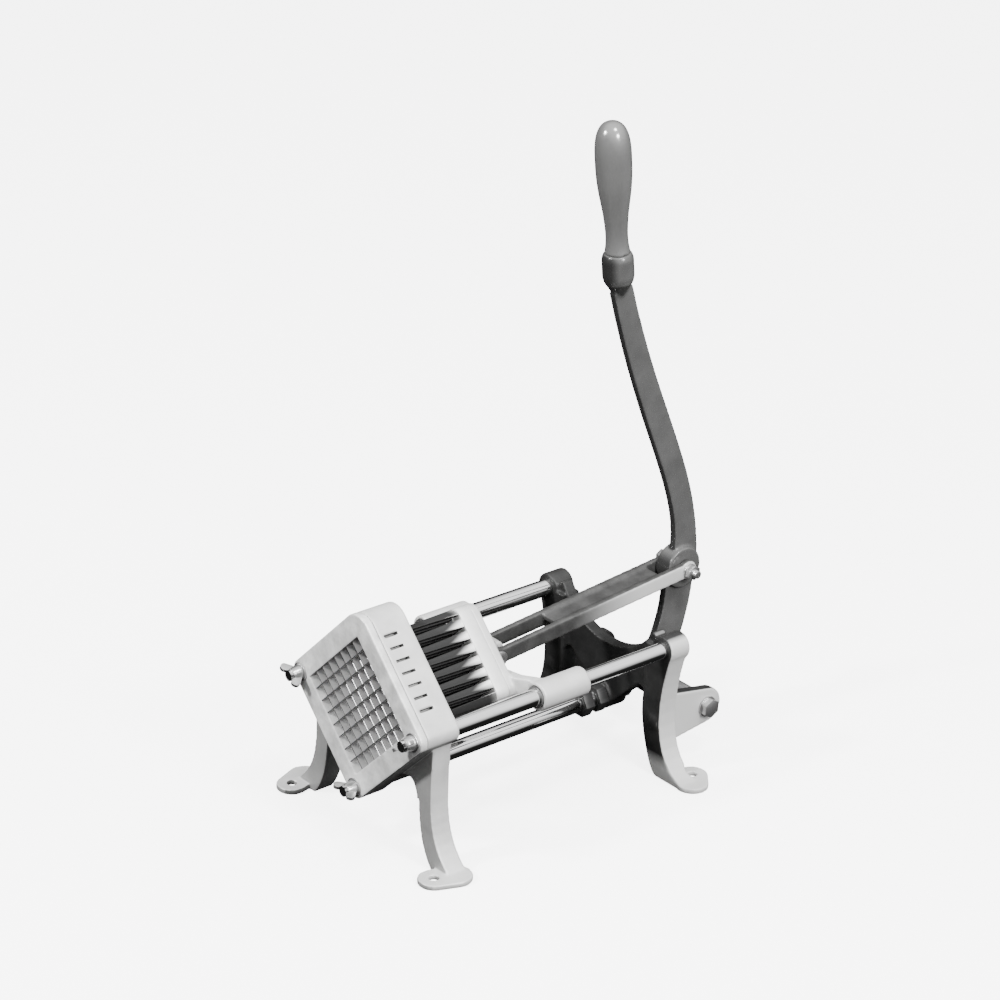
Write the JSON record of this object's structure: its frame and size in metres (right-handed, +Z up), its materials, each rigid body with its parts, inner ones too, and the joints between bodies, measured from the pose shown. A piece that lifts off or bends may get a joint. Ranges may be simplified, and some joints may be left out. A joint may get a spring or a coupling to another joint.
{
  "type": "french fry cutter",
  "caption": "Bench-mounted lever press with a square blade grid on its corner, a finger block on two guide rods, a curved lever with a turned grip and arched legs.",
  "frame": {"origin": "on the bench, midway between the four foot holes", "axes": "+X across the cutter to its right-hand side seen from behind the lever, +Y from the blades back to the lever, +Z up"},
  "size_m": [0.205, 0.3291, 0.4874],
  "materials": {
    "casting": "satin cast",
    "link_casting": "satin cast",
    "lever_casting": "satin",
    "bright_rod": "polished",
    "blade_steel": "ground",
    "plated_steel": "plated",
    "dark_steel": "blackened",
    "bronze": "machined",
    "grip_plastic": "gloss"
  },
  "bodies": {
    "frame": {"front_frame": "casting", "rear_frame": "casting", "left_guide_rod": "bright_rod", "right_guide_rod": "bright_rod", "tie_rod": "bright_rod", "tie_rod_jam_nuts": "dark_steel", "tie_rod_rear_washer": "plated_steel", "tie_rod_cap_nut": "plated_steel", "front_washers": "plated_steel", "blade_holder": "casting", "falling_blades": "blade_steel", "rising_blades": "blade_steel", "fulcrum_bolt": "plated_steel", "fulcrum_nut": "plated_steel", "fulcrum_washers": "plated_steel", "fulcrum_spacers": "plated_steel"},
    "lever": {"lever": "lever_casting", "elbow_bush": "bronze", "fulcrum_bush": "bronze", "grip_stud": "plated_steel", "grip": "grip_plastic"},
    "link": {"link": "link_casting", "link_pin": "plated_steel", "link_pin_clip": "dark_steel", "elbow_bolt": "plated_steel", "elbow_nut": "plated_steel", "elbow_washers": "plated_steel"},
    "pusher": {"carriage": "casting", "sleeve_bushings": "bronze", "finger_block": "casting", "pusher_screws": "plated_steel"},
    "left_wing": {"left_wing_nut": "plated_steel"},
    "right_wing": {"right_wing_nut": "plated_steel"},
    "bottom_wing": {"bottom_wing_nut": "plated_steel"}
  },
  "joints": [
    {"name": "lever_swing", "type": "hinge", "parent": "frame", "child": "lever", "pos_m": [0, 0.151, 0.042], "axis": [1, 0, 0], "range_deg": [-35, 35]},
    {"name": "link_swing", "type": "hinge", "parent": "lever", "child": "link", "pos_m": [0, 0.17298, 0.127], "axis": [1, 0, 0], "range_deg": [-31.5, 31.5]},
    {"name": "pusher_slide", "type": "slide", "parent": "frame", "child": "pusher", "axis": [0, -1, 0], "range_m": [-0.05, 0.05]},
    {"name": "left_wing_turn", "type": "hinge", "parent": "frame", "child": "left_wing", "pos_m": [-0.06398, -0.132, 0.104], "axis": [0, 1, 0], "continuous": true},
    {"name": "right_wing_turn", "type": "hinge", "parent": "frame", "child": "right_wing", "pos_m": [0.06398, -0.132, 0.104], "axis": [0, 1, 0], "continuous": true},
    {"name": "bottom_wing_turn", "type": "hinge", "parent": "frame", "child": "bottom_wing", "pos_m": [0, -0.132, 0.04002], "axis": [0, 1, 0], "continuous": true}
  ],
  "couplings": [
    {"joint": "pusher_slide", "follows": "lever_swing", "m_per_rad": 0.0818},
    {"joint": "link_swing", "follows": "lever_swing", "ratio": -0.887}
  ]
}
